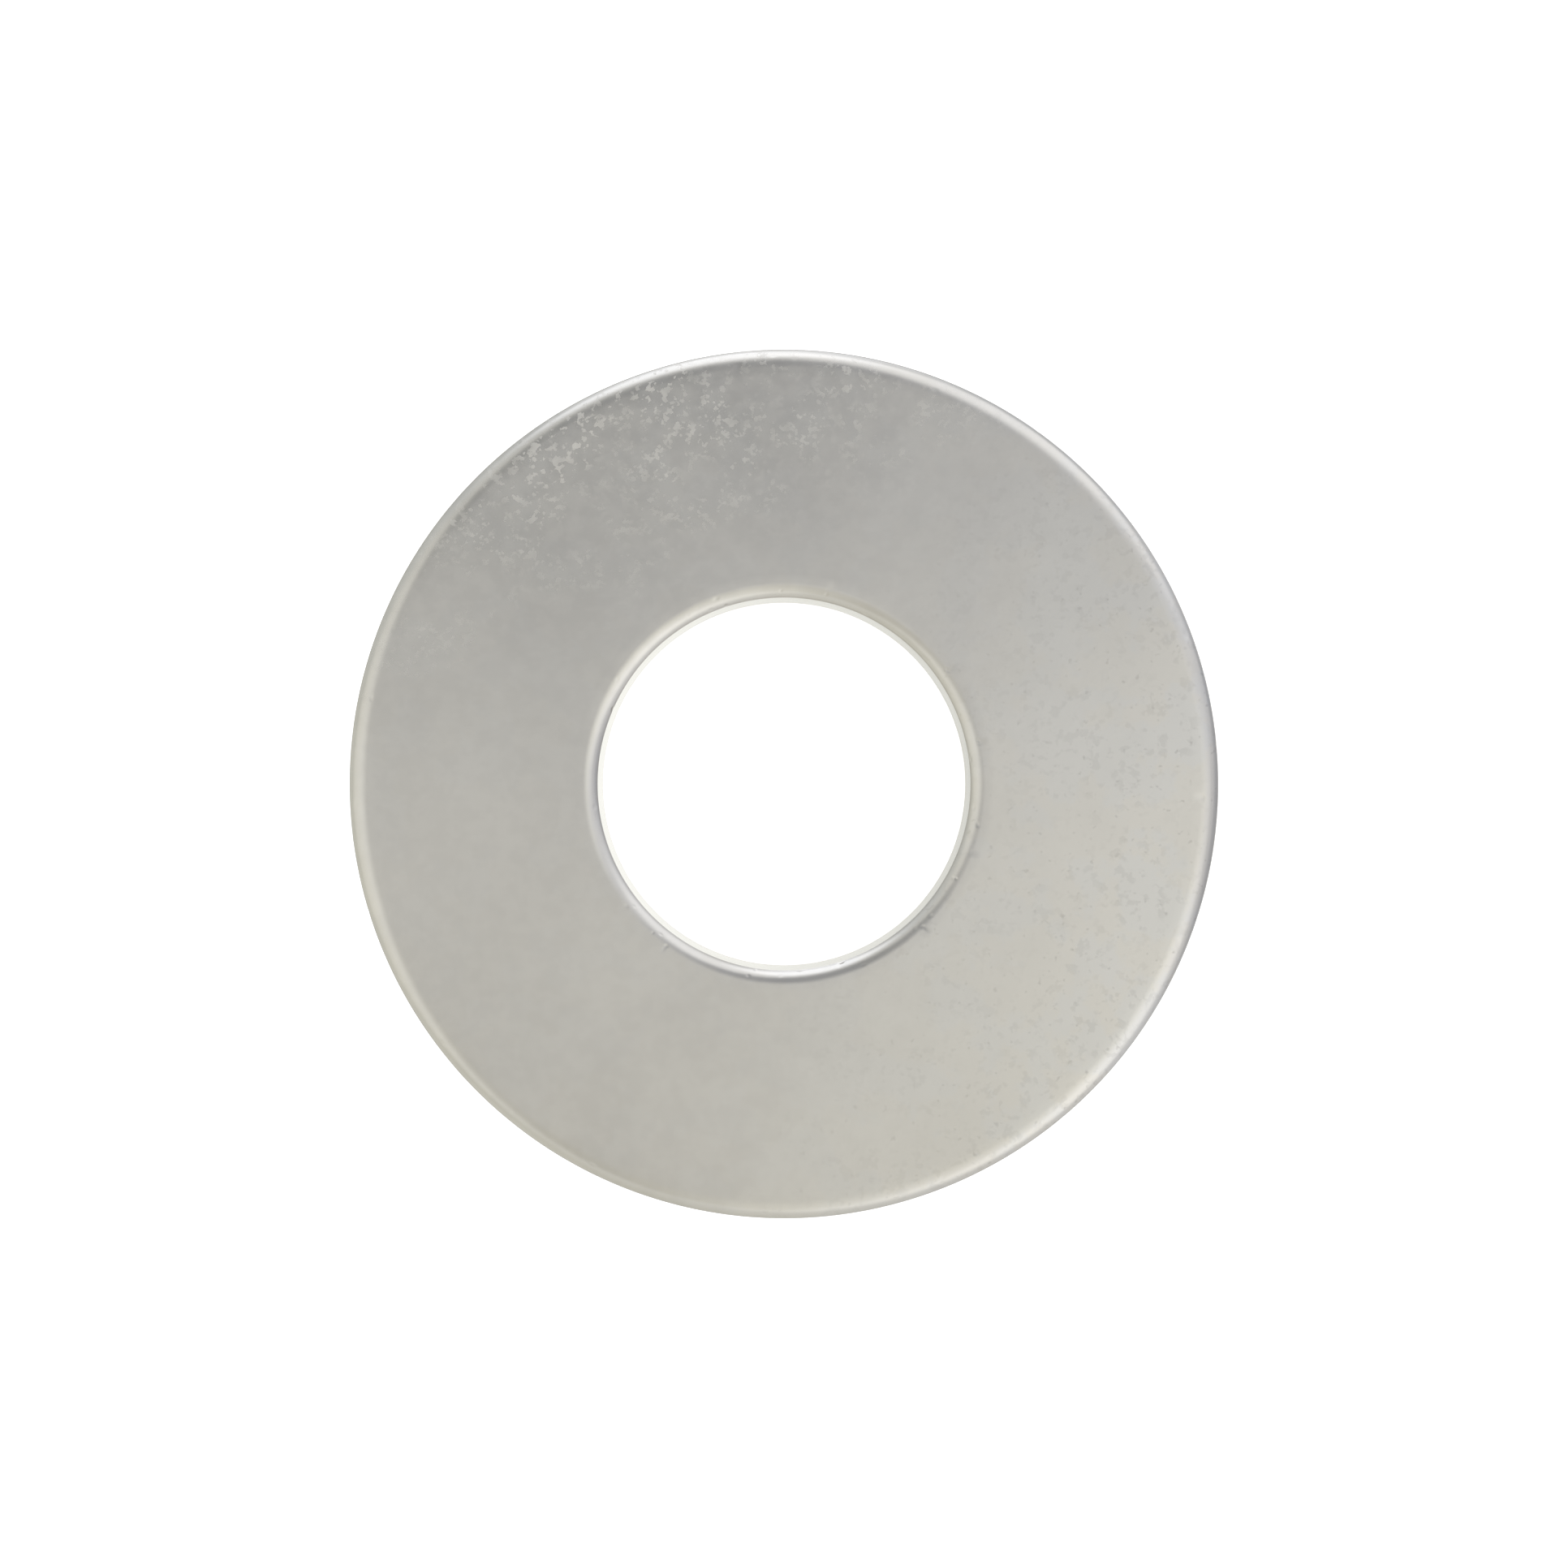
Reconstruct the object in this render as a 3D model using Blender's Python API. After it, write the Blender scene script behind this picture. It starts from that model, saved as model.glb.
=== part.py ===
"""Flat washer for a 5/16 inch bolt: one ring stamped from sheet steel, with a satin zinc finish.

Lengths are in metres. The bore's axis is Z, the underside rests on z = 0, and the face whose
edges are rolled looks along +Z.
"""
import math

import bmesh
import bpy

# Driving dimensions: the 5/16 inch wide (USS) washer
BORE_DIAMETER = 0.009525
OUTSIDE_DIAMETER = 0.022225
THICKNESS = 0.002108

# Rolled edges of the upper face, where the tool drew the sheet down before it cut through.
# The sweep is how much of a quarter ellipse each roll follows before it breaks into the wall.
RIM_ROLL_WIDTH = 0.00048
RIM_ROLL_DEPTH = 0.00023
RIM_ROLL_SWEEP = math.radians(79)
BORE_ROLL_WIDTH = 0.00037
BORE_ROLL_DEPTH = 0.00017
BORE_ROLL_SWEEP = math.radians(62)
ROLL_STEPS = 6

# Broken edges of the underside, worn off its burr by tumbling
EDGE_BREAK = 0.00007

TURN_STEPS = 96
SMOOTH_ANGLE = math.radians(28)

ZINC_COLOUR = (0.675, 0.655, 0.615, 1.0)
ZINC_ROUGHNESS = 0.25


def clear_scene():
    """Remove whatever objects the file opened with."""
    for leftover in list(bpy.data.objects):
        bpy.data.objects.remove(leftover, do_unlink=True)


def rolled_edge(wall_radius, width, depth, sweep):
    """(radius, height) points of a rolled edge, from the flat face down to the top of the wall.

    The flat face lies outside the wall's radius when the width is positive, and inside it when
    the width is negative.
    """
    points = []
    for step in range(ROLL_STEPS + 1):
        turn = sweep * step / ROLL_STEPS
        across = math.sin(turn) / math.sin(sweep)
        down = (1 - math.cos(turn)) / (1 - math.cos(sweep))
        points.append((wall_radius + width * (1 - across), THICKNESS - depth * down))
    return points


def section():
    """The washer's cross-section as a closed ring of (radius, height) points."""
    bore = BORE_DIAMETER / 2
    rim = OUTSIDE_DIAMETER / 2
    bore_side = rolled_edge(bore, BORE_ROLL_WIDTH, BORE_ROLL_DEPTH, BORE_ROLL_SWEEP)
    bore_side += [(bore, EDGE_BREAK), (bore + EDGE_BREAK, 0.0)]
    rim_side = rolled_edge(rim, -RIM_ROLL_WIDTH, RIM_ROLL_DEPTH, RIM_ROLL_SWEEP)
    rim_side += [(rim, EDGE_BREAK), (rim - EDGE_BREAK, 0.0)]
    return bore_side + rim_side[::-1]


def zinc_plated_steel():
    """Satin zinc plating on steel: a light grey metal, a little warm."""
    material = bpy.data.materials.new("zinc_plated_steel")
    material.use_nodes = True
    shader = material.node_tree.nodes["Principled BSDF"]
    shader.inputs["Base Color"].default_value = ZINC_COLOUR
    shader.inputs["Metallic"].default_value = 1.0
    shader.inputs["Roughness"].default_value = ZINC_ROUGHNESS
    return material


def washer():
    """Turn the cross-section about the bore's axis into the stamped ring."""
    shape = bmesh.new()
    corners = [shape.verts.new((radius, 0.0, height)) for radius, height in section()]
    outline = [shape.edges.new((corners[i - 1], corners[i])) for i in range(len(corners))]
    bmesh.ops.spin(
        shape,
        geom=corners + outline,
        cent=(0.0, 0.0, 0.0),
        axis=(0.0, 0.0, 1.0),
        angle=2 * math.pi,
        steps=TURN_STEPS,
        use_merge=True,
    )
    bmesh.ops.recalc_face_normals(shape, faces=shape.faces[:])
    mesh = bpy.data.meshes.new("washer")
    shape.to_mesh(mesh)
    shape.free()
    mesh.materials.append(zinc_plated_steel())
    mesh.shade_smooth()
    mesh.set_sharp_from_angle(angle=SMOOTH_ANGLE)
    ring = bpy.data.objects.new("washer", mesh)
    bpy.context.scene.collection.objects.link(ring)
    return ring


clear_scene()
washer()
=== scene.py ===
"""The looks of a flat washer: the stamped ring as a fine mesh, its satin zinc finish, and a pale studio.

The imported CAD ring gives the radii, the heights and the extent of the rolls. The sweeps of the rolls and
the width of the edge break repeat its own. Lengths are in metres unless said otherwise, azimuths and
elevations are in degrees, and azimuth 0 is +X with azimuth 90 at +Y.
"""
import math
from collections import namedtuple

import bpy
import numpy as np
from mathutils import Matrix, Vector, noise


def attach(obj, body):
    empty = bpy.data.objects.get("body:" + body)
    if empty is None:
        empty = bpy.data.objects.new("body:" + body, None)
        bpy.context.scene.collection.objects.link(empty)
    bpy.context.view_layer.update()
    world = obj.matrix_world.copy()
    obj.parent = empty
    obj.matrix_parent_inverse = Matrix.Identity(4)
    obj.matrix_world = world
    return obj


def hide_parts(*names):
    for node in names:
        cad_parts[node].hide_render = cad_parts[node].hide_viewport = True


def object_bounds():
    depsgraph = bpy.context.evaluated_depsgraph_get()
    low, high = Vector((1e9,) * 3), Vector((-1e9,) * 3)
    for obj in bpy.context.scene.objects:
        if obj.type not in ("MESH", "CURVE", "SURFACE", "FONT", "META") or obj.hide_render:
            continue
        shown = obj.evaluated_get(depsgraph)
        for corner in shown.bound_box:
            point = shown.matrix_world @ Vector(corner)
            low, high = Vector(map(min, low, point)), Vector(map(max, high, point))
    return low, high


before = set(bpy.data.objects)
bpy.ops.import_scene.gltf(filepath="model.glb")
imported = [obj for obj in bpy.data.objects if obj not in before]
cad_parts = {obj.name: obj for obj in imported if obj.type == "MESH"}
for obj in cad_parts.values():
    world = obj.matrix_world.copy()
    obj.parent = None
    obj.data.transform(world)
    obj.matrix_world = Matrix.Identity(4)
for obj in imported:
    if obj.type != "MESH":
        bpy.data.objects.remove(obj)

CAD_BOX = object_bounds()
MM = 0.001
CAD_TOLERANCE = 0.002 * MM

# The ring's mesh
SEGMENTS = 1200
ROLL_RINGS = 17
FLAT_RINGS = 9
LAND_RINGS = 4
TORN_RINGS = 8
BREAK_RINGS = 4
BORE_ROLL_SWEEP = math.radians(62)
RIM_ROLL_SWEEP = math.radians(79)
BORE_ROLL_STEEPEST = math.radians(46)
RIM_ROLL_STEEPEST = math.radians(80)
CREASE_ANGLE = math.radians(30)

# The walls: a smooth band where the tool cut, then a torn band that draws back from it
LAND_SHARE = 0.38
TORN_RELIEF = {"bore": 0.004 * MM, "rim": 0.020 * MM}
TORN_GRAIN = {"bore": 0.006 * MM, "rim": 0.016 * MM}
TEAR_WIDTH = 0.10 * MM
TEAR_STRETCH = 0.16
TEAR_SHARE = 0.6
CHATTER_LENGTH = 0.35 * MM
BREAK_WIDTH = 0.07 * MM

# The small faults of the rolled edges: pits and nicks, and waves with finer ripples on them
PIT_COUNT = 90
PIT_REACH = (0.035 * MM, 0.08 * MM)
PIT_DEPTH = (0.002 * MM, 0.009 * MM)
PIT_STRETCH = (1.0, 2.2)
PIT_SEED = 7
WAVE_HEIGHT = 0.0012 * MM
WAVE_LENGTH = 0.9 * MM
RIPPLE_LENGTH = 0.22 * MM
RIPPLE_SHARE = 0.35

# The plating. Sizes and spans are in millimetres. An edge is the pair of values between which
# a pattern eases in, and the rest are shares of the full effect.
ZINC_COLOUR = (0.675, 0.655, 0.615)
ZINC_ROUGHNESS = 0.21
COOL_CAST = (-0.010, 0.0, 0.018)
CAST_EVERYWHERE = 0.2
CAST_SIZE = 2.0
CAST_EDGE = (0.46, 0.54)
CLOUD_SIZE = 3.0
CLOUD_EDGE = (0.3, 0.7)
MOTTLE_SIZE = 0.45
MOTTLE_EDGE = (0.35, 0.65)
MOTTLE_SHARE = 0.08
CROWD_SIZE = 1.9
CROWD_EDGE = (0.38, 0.58)
CROWD_LEAST = 0.3
SWELL_SIZE = 0.35
CRYSTAL_SIZE = 0.105
CRYSTAL_SOFTNESS = 0.3
CRYSTAL_STIR = 0.9
STIR_FINENESS = 1.6
CRYSTAL_SHARE = 0.35
BLOTCH_EDGE = (0.75, 0.84)
THIN_SIZE = 0.5
THIN_EDGE = (0.35, 0.65)
THIN_LEAST = 0.45
DUST_SIZE = 0.07
DUST_EDGE = (0.94, 0.95)
DUST_SHARE = 0.8
FLAKE_SIZE = 0.13
FLAKE_SHARE = 0.25
PATCH_EDGE = (0.65, 0.78)
SPECK_SIZE = 0.19
SPECK_EDGE = (0.64, 0.77)
BLOTCH_SIDE = 115
BLOTCH_SPAN = (4.8, 10.2)
SPECK_SIDE = -15
SPECK_SPAN = (0.5, 9.5)
BLOTCH_ROUGHNESS = 0.27
CLOUD_ROUGHNESS = 0.012
PATCH_DARKNESS = 0.08
SPECK_DARKNESS = 0.15
CLOUD_TONE = 0.020
MOTTLE_TONE = 0.014
# Painted shade: the flats' colour is darkened when seen at a low angle.
GRAZING_PAINTED_SHADE = 0.42
GRAZING_EDGE = (0.2, 1.0)
LEVEL_EDGE = (0.9, 0.99)
BUMP_HEIGHT = 0.0008 * MM

# The outer wall, whose colour is darkened as painted shade, and its torn band, in the same units
STEEP_EDGE = (0.3, 0.6)
OUTER_EDGE = (7.0, 9.0)
TORN_TOP = (1.35, 1.55)
TORN_WAVER = 0.6
STREAK_SIZE = 0.07
STREAK_EDGE = (0.35, 0.65)
STREAK_STRETCH = 0.12
WALL_PAINTED_SHADE = 0.13
STREAK_DARKNESS = 0.10
TORN_ROUGHNESS = 0.10
STREAK_ROUGHNESS = 0.10

# The studio
FLOOR_RADIUS = 0.9
FLOOR_DROP = 0.01 * MM
FLOOR_GLOW = 0.5
FLOOR_FADE = (0.1, 0.3)
FLOOR_COLOUR = (0.93, 0.93, 0.93, 1.0)
DOME_LIGHT = 1.1
LENS = 55.0
SENSOR = 36.0
FRAME_SHARE = 0.5541
CLIP_RANGE = 50

# A least-squares program fitted most of these lights to the highlights in a photograph. The names are
# only labels. key_core, key_edge and left_edge were set one by one, and so were AMBER and UMBER. The
# program's values were changed in side_fill, back_right_fill, table_glow, dark_card_back,
# AMBIENT and one number of AMBIENT_EAST, and its tints were grouped into the other named ones.
Light = namedtuple("Light", "name azimuth elevation spread strength tint")
NEUTRAL = (1.0, 1.0, 1.0)
COOL = (0.95, 0.98, 1.07)
BLUE = (0.75, 0.92, 1.33)
WARM = (1.02, 1.02, 0.96)
UMBER = (1.01, 1.0, 0.97)
AMBER = (1.03, 0.98, 0.35)
AMBIENT = (0.690, 0.695, 0.685)
AMBIENT_UP = (0.107, 0.106, 0.115)
AMBIENT_NORTH = (-0.059, -0.050, -0.021)
AMBIENT_EAST = (0.084, 0.092, 0.150)
LIGHTS = [
    Light("back_window", 101, 19, 30, 0.78, COOL),
    Light("key_softbox", 305, 51, 39, 0.33, WARM),
    Light("key_core", 315, 40, 22, 0.09, NEUTRAL),
    Light("key_edge", 333, 72, 18, 0.05, AMBER),
    Light("left_edge", 195, 72, 18, 0.028, NEUTRAL),
    Light("side_fill", 190, 41, 37, 0.23, NEUTRAL),
    Light("back_right_fill", 59, 28, 38, 0.41, NEUTRAL),
    Light("back_bounce", 94, -16, 32, 0.50, COOL),
    Light("left_bounce", 202, -21, 52, 0.15, COOL),
    Light("table_glow", 10, -74, 32, 0.58, WARM),
    Light("sky_patch", 136, 0, 51, 0.09, BLUE),
    Light("dark_card_back", 107, 68, 25, -0.39, UMBER),
    Light("dark_card_front", 262, 65, 29, -0.24, COOL),
    Light("dark_card_right", 356, -9, 36, -0.30, NEUTRAL),
    Light("dark_card_edge", 354, 27, 23, -0.14, NEUTRAL),
]

Ring = namedtuple("Ring", "radius height zone")


def smooth(x):
    """Smooth step from 0 at x = 0 to 1 at x = 1."""
    x = np.clip(x, 0.0, 1.0)
    return x * x * (3 - 2 * x)


# ---------------------------------------------------------------- the ring's shape

def cad_sizes():
    """The CAD ring's sizes, read off its mesh: both walls and their creases, and the upper flat's ends."""
    points = np.array([vertex.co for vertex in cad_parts["washer"].data.vertices])
    reach = np.hypot(points[:, 0], points[:, 1])
    top = points[:, 2].max()
    flat = reach[points[:, 2] > top - CAD_TOLERANCE]
    bore_wall = points[reach < reach.min() + CAD_TOLERANCE]
    rim_wall = points[reach > reach.max() - CAD_TOLERANCE]
    return {
        "bore": reach.min(),
        "rim": CAD_BOX[1][0],
        "top": top,
        "flat_start": flat.min(),
        "flat_end": flat.max(),
        "bore_crease": bore_wall[:, 2].max(),
        "rim_crease": rim_wall[:, 2].max(),
    }


def rolled_edge(wall, flat, top, crease, sweep, steepest):
    """Rings of a rolled edge, from the flat face down to the crease at the wall.

    They follow the CAD ring's quarter ellipse until it grows steeper than steepest, and then run straight.
    """
    rings = [Ring(flat, top, "roll")]
    for step in range(1, ROLL_RINGS + 1):
        turn = sweep * step / ROLL_RINGS
        across = math.sin(turn) / math.sin(sweep)
        down = (1 - math.cos(turn)) / (1 - math.cos(sweep))
        radius = flat + (wall - flat) * across
        lowest = rings[-1].height - abs(radius - rings[-1].radius) * math.tan(steepest)
        rings.append(Ring(radius, max(top + (crease - top) * down, lowest), "roll"))
    return rings[1:]


def wall_down(side, wall, inward, crease):
    """Rings of a wall from the crease down to the underside; inward is the way the torn band draws back."""
    rings = []
    land_end = crease * (1 - LAND_SHARE)
    for step in range(1, LAND_RINGS + 1):
        rings.append(Ring(wall, crease + (land_end - crease) * step / LAND_RINGS, "land"))
    for step in range(1, TORN_RINGS + 1):
        share = step / TORN_RINGS
        height = land_end + (BREAK_WIDTH - land_end) * share
        rings.append(Ring(wall + inward * TORN_RELIEF[side] * share, height, side))
    foot = wall + inward * TORN_RELIEF[side]
    for step in range(1, BREAK_RINGS + 1):
        turn = math.radians(90) * step / BREAK_RINGS
        radius = foot + inward * BREAK_WIDTH * (1 - math.cos(turn))
        rings.append(Ring(radius, BREAK_WIDTH * (1 - math.sin(turn)), "break"))
    return rings


def flat_between(start, end, height):
    """Rings across a flat face, both ends included."""
    share = smooth(np.linspace(0.0, 1.0, FLAT_RINGS))
    return [Ring(start + (end - start) * s, height, "flat") for s in share]


def section(size):
    """The whole cross-section as a closed list of rings, running out over the top and back underneath."""
    top = size["top"]
    bore_side = rolled_edge(
        size["bore"], size["flat_start"], top, size["bore_crease"], BORE_ROLL_SWEEP, BORE_ROLL_STEEPEST
    )
    bore_side += wall_down("bore", size["bore"], 1, bore_side[-1].height)
    rim_side = rolled_edge(
        size["rim"], size["flat_end"], top, size["rim_crease"], RIM_ROLL_SWEEP, RIM_ROLL_STEEPEST
    )
    rim_side += wall_down("rim", size["rim"], -1, rim_side[-1].height)
    upper = flat_between(size["flat_start"], size["flat_end"], top)
    under = flat_between(rim_side[-1].radius, bore_side[-1].radius, 0.0)[1:-1]
    return bore_side[::-1] + upper + rim_side + under


def outward(rings):
    """Unit normals of the cross-section at each ring, pointing out of the metal."""
    line = np.array([(ring.radius, ring.height) for ring in rings])
    along = np.roll(line, -1, axis=0) - np.roll(line, 1, axis=0)
    normal = np.stack([-along[:, 1], along[:, 0]], axis=1)
    return normal / np.linalg.norm(normal, axis=1, keepdims=True)


def noise_field(points, size, seed):
    """Smooth noise between about -1 and 1 at each point; size is the length of its features."""
    shift = Vector((seed * 17.3, seed * 5.1, seed * 9.7))
    flat = points.reshape(-1, 3) / size
    values = [noise.noise(Vector(point) + shift) for point in flat]
    return np.array(values).reshape(points.shape[:-1])


def pits(points, zones, random):
    """Depth of the small pits and nicks, scattered over the rolled edges."""
    depth = np.zeros(points.shape[:-1])
    rolls = np.flatnonzero(zones == "roll")
    rows = np.setdiff1d(rolls, [rolls.min(), rolls.max()])
    for _ in range(PIT_COUNT):
        row = random.choice(rows)
        centre = points[row, random.integers(SEGMENTS)]
        reach = random.uniform(*PIT_REACH)
        stretch = random.uniform(*PIT_STRETCH)
        away = points - centre
        tangent = np.array([-centre[1], centre[0], 0.0])
        tangent /= np.linalg.norm(tangent)
        along = away @ tangent
        across = np.sqrt(np.maximum((away ** 2).sum(axis=-1) - along ** 2, 0.0))
        distance = np.hypot(along / stretch, across) / reach
        depth = np.maximum(depth, random.uniform(*PIT_DEPTH) * smooth(1 - distance))
    return depth


def worn_in(points, zones):
    """How far each point of the ring lies below the ideal shape."""
    rolls = (zones == "roll")[:, None]
    torn = sum((zones == side)[:, None] * grain for side, grain in TORN_GRAIN.items())
    wave = 0.5 + 0.5 * noise_field(points, WAVE_LENGTH, 1)
    ripple = 0.5 + 0.5 * noise_field(points, RIPPLE_LENGTH, 2)
    depth = rolls * WAVE_HEIGHT * (wave + RIPPLE_SHARE * ripple)
    drawn_out = points * np.array([1.0, 1.0, TEAR_STRETCH])
    tear = 0.5 + 0.5 * noise_field(drawn_out, TEAR_WIDTH, 3)
    chatter = 0.5 + 0.5 * noise_field(points, CHATTER_LENGTH, 4)
    depth = depth + torn * (TEAR_SHARE * tear + (1 - TEAR_SHARE) * chatter)
    depth = depth + rolls * pits(points, zones, np.random.default_rng(PIT_SEED))
    return np.maximum(depth, 0.0)


def stamped_ring():
    """The washer as one closed mesh of rings and segments, with its wear and tool marks in the surface."""
    rings = section(cad_sizes())
    zones = np.array([ring.zone for ring in rings])
    radius = np.array([ring.radius for ring in rings])
    height = np.array([ring.height for ring in rings])
    normal = outward(rings)
    angle = np.linspace(0.0, 2 * math.pi, SEGMENTS, endpoint=False)
    turn = np.stack([np.cos(angle), np.sin(angle)], axis=-1)

    def place(r, z):
        flat = r[..., None] * turn[None]
        return np.concatenate([flat, np.broadcast_to(z[..., None], flat.shape[:2] + (1,))], axis=-1)

    wide = np.ones(SEGMENTS)
    ideal = place(radius[:, None] * wide, height[:, None] * wide)
    depth = worn_in(ideal, zones)
    points = place(radius[:, None] - normal[:, :1] * depth, height[:, None] - normal[:, 1:] * depth)

    count = len(rings)
    here = np.arange(count * SEGMENTS).reshape(count, SEGMENTS)
    up = np.roll(here, -1, axis=0)
    faces = np.stack([here, np.roll(here, -1, axis=1), np.roll(up, -1, axis=1), up], axis=-1)
    mesh = bpy.data.meshes.new("stamped_ring")
    mesh.from_pydata(points.reshape(-1, 3).tolist(), [], faces.reshape(-1, 4)[:, ::-1].tolist())
    mesh.shade_smooth()
    mesh.set_sharp_from_angle(angle=CREASE_ANGLE)
    ring = bpy.data.objects.new("stamped_ring", mesh)
    bpy.context.scene.collection.objects.link(ring)
    return ring


# ---------------------------------------------------------------- node helpers

def add_node(tree, kind, inputs=(), **settings):
    """A node with its settings, and its inputs set by name or number to values or to other sockets."""
    node = tree.nodes.new(kind)
    for name, value in settings.items():
        setattr(node, name, value)
    for name, value in dict(inputs).items():
        if isinstance(value, bpy.types.NodeSocket):
            tree.links.new(value, node.inputs[name])
        else:
            node.inputs[name].default_value = value
    return node


def calculate(tree, operation, *values):
    """The result of a Math node."""
    return add_node(tree, "ShaderNodeMath", enumerate(values), operation=operation).outputs[0]


def combine(tree, operation, a, b):
    """The vector result of a Vector Math node."""
    return add_node(tree, "ShaderNodeVectorMath", {0: a, 1: b}, operation=operation).outputs[0]


def ease(tree, value, low, high, start=0.0, end=1.0):
    """Value eased from start at low to end at high."""
    inputs = {"Value": value, "From Min": low, "From Max": high, "To Min": start, "To Max": end}
    return add_node(tree, "ShaderNodeMapRange", inputs, interpolation_type="SMOOTHSTEP").outputs[0]


def grain(tree, place, size, detail=3.0, roughness=0.55, distortion=0.0):
    """Noise whose features are about size millimetres wide."""
    inputs = {
        "Vector": place,
        "Scale": 1.0 / size,
        "Detail": detail,
        "Roughness": roughness,
        "Distortion": distortion,
    }
    return add_node(tree, "ShaderNodeTexNoise", inputs).outputs[0]


# ---------------------------------------------------------------- the zinc finish

def toward(azimuth, elevation):
    """Unit vector towards an azimuth and an elevation in degrees."""
    a, e = math.radians(azimuth), math.radians(elevation)
    return (math.cos(a) * math.cos(e), math.sin(a) * math.cos(e), math.sin(e))


def scaled(tree, vector, amount):
    """A colour or vector multiplied by one number."""
    return add_node(
        tree, "ShaderNodeVectorMath", {0: vector, "Scale": amount}, operation="SCALE"
    ).outputs[0]


def crystals(tree, place, size):
    """A random value from 0 to 1 for each ragged crystal of the deposit, about size millimetres wide."""
    inputs = {"Vector": place, "Scale": STIR_FINENESS / size, "Detail": 2.0}
    stir = add_node(tree, "ShaderNodeTexNoise", inputs)
    ragged = combine(tree, "ADD", place, scaled(tree, stir.outputs["Color"], CRYSTAL_STIR * size))
    inputs = {"Vector": ragged, "Scale": 1.0 / size, "Smoothness": CRYSTAL_SOFTNESS}
    cells = add_node(tree, "ShaderNodeTexVoronoi", inputs, feature="SMOOTH_F1")
    return add_node(tree, "ShaderNodeSeparateColor", {0: cells.outputs["Color"]}).outputs[0]


def beside(tree, place, azimuth, near, far):
    """A mask that grows from 0 to 1 over the millimetres from near to far towards one side of the ring."""
    reach = add_node(
        tree, "ShaderNodeVectorMath", {0: place, 1: toward(azimuth, 0)}, operation="DOT_PRODUCT"
    ).outputs["Value"]
    inputs = {"Value": reach, "From Min": near, "From Max": far}
    return add_node(tree, "ShaderNodeMapRange", inputs).outputs[0]


def times(tree, *values):
    """The product of two numbers or sockets."""
    return calculate(tree, "MULTIPLY", *values)


def plus(tree, *values):
    """The sum of two numbers or sockets."""
    return calculate(tree, "ADD", *values)


def pale_blotches(tree, place, swell, crowd, mottle):
    """Where the deposit is rough and pale: ragged blotches and single crystals, and a faint mottle."""
    heap = plus(tree, swell, times(tree, crystals(tree, place, CRYSTAL_SIZE), CRYSTAL_SHARE))
    thin = ease(tree, grain(tree, place, THIN_SIZE), *THIN_EDGE, THIN_LEAST, 1.0)
    blotch = times(tree, ease(tree, heap, *BLOTCH_EDGE), thin)
    dust = times(tree, ease(tree, crystals(tree, place, DUST_SIZE), *DUST_EDGE), DUST_SHARE)
    pale = times(tree, calculate(tree, "MAXIMUM", blotch, dust), crowd)
    return plus(tree, pale, times(tree, mottle, MOTTLE_SHARE))


def dark_marks(tree, place, crowd, mottle):
    """How much darker the plating is in its flat patches and its small specks."""
    coarse = grain(tree, place, SWELL_SIZE, 2.5)
    flake = plus(tree, coarse, times(tree, crystals(tree, place, FLAKE_SIZE), FLAKE_SHARE))
    patch = times(tree, ease(tree, flake, *PATCH_EDGE), crowd)
    speck = ease(tree, grain(tree, place, SPECK_SIZE, 1.5), *SPECK_EDGE)
    marks = plus(tree, times(tree, patch, PATCH_DARKNESS), times(tree, speck, SPECK_DARKNESS))
    return plus(tree, marks, times(tree, mottle, MOTTLE_TONE))


def uprightness(tree):
    """How far the surface faces straight up or down, from 0 on a wall to 1 on a flat."""
    normal = add_node(tree, "ShaderNodeNewGeometry").outputs["True Normal"]
    height = add_node(tree, "ShaderNodeSeparateXYZ", {0: normal}).outputs["Z"]
    return calculate(tree, "ABSOLUTE", height)


def outer_wall(tree, place, upright):
    """A mask of the outer wall."""
    steep = ease(tree, upright, *STEEP_EDGE, 1.0, 0.0)
    reach = add_node(tree, "ShaderNodeVectorMath", {0: place}, operation="LENGTH").outputs["Value"]
    return times(tree, steep, ease(tree, reach, *OUTER_EDGE))


def torn_band(tree, place, swell, wall):
    """Masks of the outer wall's torn band, whose upper edge wavers, and of the streaks that run down it."""
    height = add_node(tree, "ShaderNodeSeparateXYZ", {0: place}).outputs["Z"]
    height = plus(tree, height, times(tree, swell, TORN_WAVER))
    torn = times(tree, wall, ease(tree, height, *TORN_TOP, 1.0, 0.0))
    drawn_out = combine(tree, "MULTIPLY", place, (1.0, 1.0, STREAK_STRETCH))
    streak = times(tree, torn, ease(tree, grain(tree, drawn_out, STREAK_SIZE, 2.0), *STREAK_EDGE))
    return torn, streak


def grazing_shade(tree, upright):
    """How much painted shade darkens the flats' colour at a low angle, so that the low back window doesn't
    burn them out.
    """
    slant = add_node(tree, "ShaderNodeLayerWeight", {"Blend": 0.5}).outputs["Facing"]
    level = ease(tree, upright, *LEVEL_EDGE)
    share = times(tree, ease(tree, slant, *GRAZING_EDGE), level)
    return calculate(tree, "MULTIPLY_ADD", share, -GRAZING_PAINTED_SHADE, 1.0)


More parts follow.
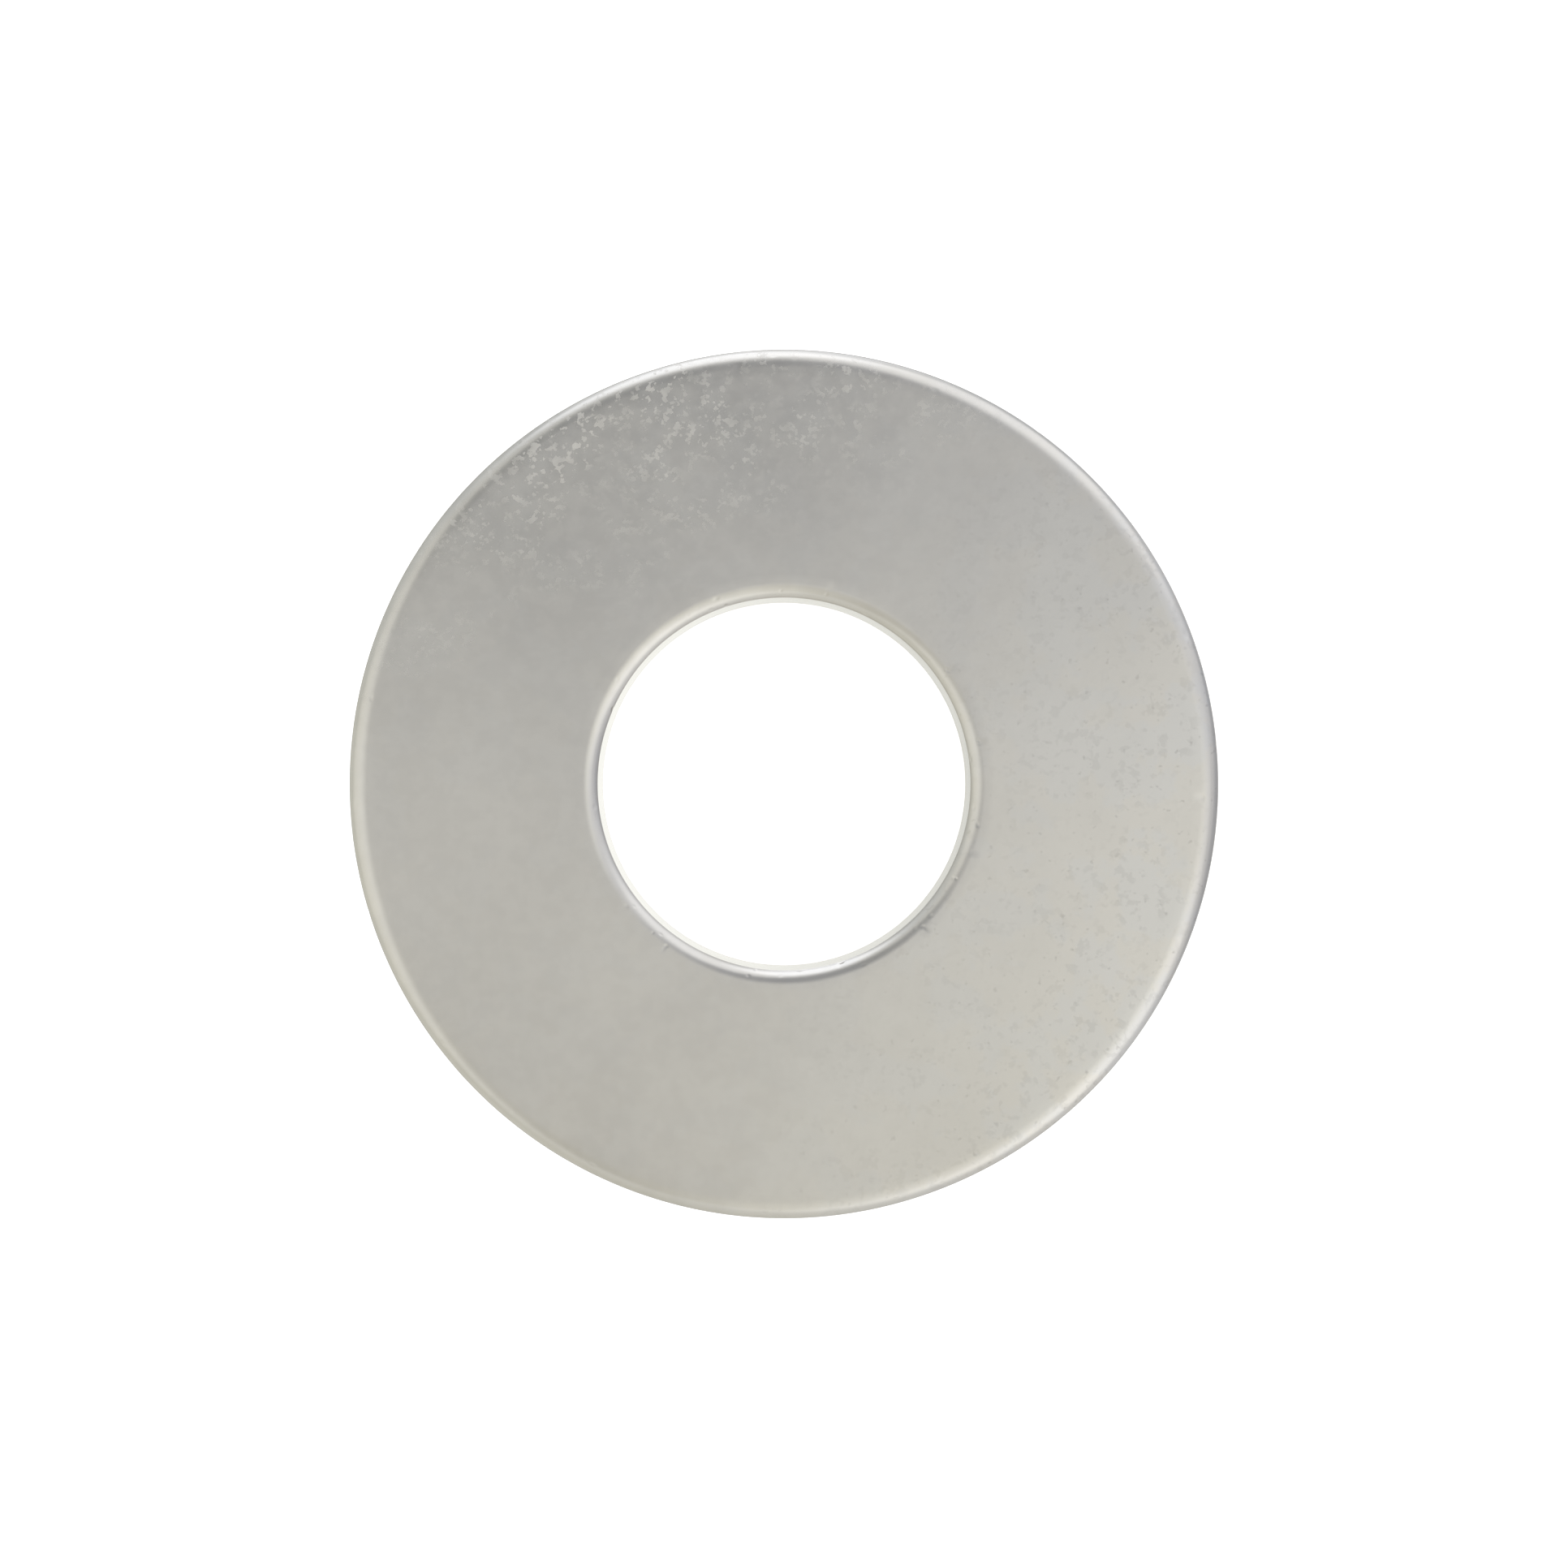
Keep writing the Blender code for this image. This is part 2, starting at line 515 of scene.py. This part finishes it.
def zinc_finish():
    """Satin zinc plating: rough pale blotches crowd one side of the ring and dark specks another."""
    material = bpy.data.materials.new("zinc_plated_steel")
    material.use_nodes = True
    tree = material.node_tree
    shader = tree.nodes["Principled BSDF"]
    place = scaled(tree, add_node(tree, "ShaderNodeTexCoord").outputs["Object"], 1 / MM)

    clouds = ease(tree, grain(tree, place, CLOUD_SIZE), *CLOUD_EDGE, -1.0, 1.0)
    mottle = ease(tree, grain(tree, place, MOTTLE_SIZE), *MOTTLE_EDGE, -1.0, 1.0)
    crowd = ease(tree, grain(tree, place, CROWD_SIZE, 2.0), *CROWD_EDGE, CROWD_LEAST, 1.0)
    swell = grain(tree, place, SWELL_SIZE, 2.0)
    pale_side = beside(tree, place, BLOTCH_SIDE, *BLOTCH_SPAN)
    dark_side = beside(tree, place, SPECK_SIDE, *SPECK_SPAN)
    upright = uprightness(tree)
    wall = outer_wall(tree, place, upright)
    torn, streak = torn_band(tree, place, swell, wall)

    pale = times(tree, pale_blotches(tree, place, swell, crowd, mottle), pale_side)
    rough = calculate(tree, "MULTIPLY_ADD", pale, BLOTCH_ROUGHNESS, ZINC_ROUGHNESS)
    rough = calculate(tree, "MULTIPLY_ADD", clouds, CLOUD_ROUGHNESS, rough)
    rough = calculate(tree, "MULTIPLY_ADD", torn, TORN_ROUGHNESS, rough)
    rough = calculate(tree, "MULTIPLY_ADD", streak, STREAK_ROUGHNESS, rough)

    dark = times(tree, dark_marks(tree, place, crowd, mottle), dark_side)
    tone = calculate(tree, "SUBTRACT", 1.0, dark)
    tone = calculate(tree, "MULTIPLY_ADD", clouds, CLOUD_TONE, tone)
    tone = calculate(tree, "MULTIPLY_ADD", mottle, MOTTLE_TONE, tone)
    # Painted shade: the whole outer wall's colour is darkened.
    tone = calculate(tree, "MULTIPLY_ADD", wall, -WALL_PAINTED_SHADE, tone)
    tone = calculate(tree, "MULTIPLY_ADD", streak, -STREAK_DARKNESS, tone)
    # Painted shade on the flats' colour at a low angle.
    tone = times(tree, tone, grazing_shade(tree, upright))

    drift = ease(tree, grain(tree, place, CAST_SIZE, 4.0, 0.6), *CAST_EDGE, -0.5, 1.0)
    cool = times(tree, drift, calculate(tree, "MAXIMUM", dark_side, CAST_EVERYWHERE))
    tint = combine(tree, "ADD", (1.0, 1.0, 1.0), scaled(tree, COOL_CAST, cool))
    colour = scaled(tree, combine(tree, "MULTIPLY", ZINC_COLOUR, tint), tone)

    bump = add_node(tree, "ShaderNodeBump", {"Height": swell, "Distance": BUMP_HEIGHT, "Strength": 1.0})
    tree.links.new(colour, shader.inputs["Base Color"])
    tree.links.new(rough, shader.inputs["Roughness"])
    tree.links.new(bump.outputs[0], shader.inputs["Normal"])
    shader.inputs["Metallic"].default_value = 1.0
    return material


# ---------------------------------------------------------------- the studio

def studio():
    """The lights and dark cards that the metal mirrors, inside an even white dome that lights the floor."""
    world = bpy.data.worlds.new("studio")
    bpy.context.scene.world = world
    world.use_nodes = True
    tree = world.node_tree
    tree.nodes.clear()
    direction = add_node(tree, "ShaderNodeTexCoord").outputs["Generated"]
    parts = add_node(tree, "ShaderNodeSeparateXYZ", {0: direction}).outputs

    glow = combine(tree, "ADD", AMBIENT, scaled(tree, AMBIENT_UP, parts["Z"]))
    glow = combine(tree, "ADD", glow, scaled(tree, AMBIENT_NORTH, parts["Y"]))
    glow = combine(tree, "ADD", glow, scaled(tree, AMBIENT_EAST, parts["X"]))
    for light in LIGHTS:
        facing = add_node(
            tree,
            "ShaderNodeVectorMath",
            {0: direction, 1: toward(light.azimuth, light.elevation)},
            operation="DOT_PRODUCT",
        ).outputs["Value"]
        amount = ease(tree, facing, math.cos(math.radians(light.spread)), 1.0, 0.0, light.strength)
        glow = combine(tree, "ADD", glow, scaled(tree, light.tint, amount))

    mirrored = add_node(tree, "ShaderNodeBackground", {"Color": glow})
    dome = add_node(tree, "ShaderNodeBackground", {"Color": (1, 1, 1, 1), "Strength": DOME_LIGHT})
    ray = add_node(tree, "ShaderNodeLightPath")
    mix = add_node(
        tree,
        "ShaderNodeMixShader",
        {0: ray.outputs["Is Glossy Ray"], 1: dome.outputs[0], 2: mirrored.outputs[0]},
    )
    add_node(tree, "ShaderNodeOutputWorld", {"Surface": mix.outputs[0]})


def pale_floor():
    """A wide white light table whose glow fades at a slant. The metal mirrors the studio, not the table."""
    bpy.ops.mesh.primitive_circle_add(
        vertices=96, radius=FLOOR_RADIUS, fill_type="NGON", location=(0.0, 0.0, -FLOOR_DROP)
    )
    floor = bpy.context.active_object
    floor.name = "pale_floor"
    material = bpy.data.materials.new("pale_floor")
    material.use_nodes = True
    tree = material.node_tree
    shader = tree.nodes["Principled BSDF"]
    slant = add_node(tree, "ShaderNodeLayerWeight", {"Blend": 0.5}).outputs["Facing"]
    tree.links.new(ease(tree, slant, *FLOOR_FADE, FLOOR_GLOW, 0.0), shader.inputs["Emission Strength"])
    shader.inputs["Base Color"].default_value = FLOOR_COLOUR
    shader.inputs["Roughness"].default_value = 1.0
    shader.inputs["Specular IOR Level"].default_value = 0.0
    shader.inputs["Emission Color"].default_value = (1.0, 1.0, 1.0, 1.0)
    floor.data.materials.append(material)
    floor.visible_glossy = False
    floor.visible_shadow = False


def overhead_camera(size):
    """A camera straight above the bore, which holds the washer in a little over half of its frame."""
    data = bpy.data.cameras.new("overhead")
    data.lens = LENS
    data.sensor_width = SENSOR
    distance = 2 * size["rim"] / FRAME_SHARE * LENS / SENSOR
    data.clip_start = distance / CLIP_RANGE
    data.clip_end = distance * CLIP_RANGE
    camera = bpy.data.objects.new("overhead", data)
    camera.location = (0.0, 0.0, size["rim_crease"] + distance)
    bpy.context.scene.collection.objects.link(camera)
    bpy.context.scene.camera = camera


ring = stamped_ring()
ring.data.materials.append(zinc_finish())
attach(ring, "root")
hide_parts("washer")
studio()
pale_floor()
overhead_camera(cad_sizes())
bpy.context.scene.view_settings.view_transform = "Standard"
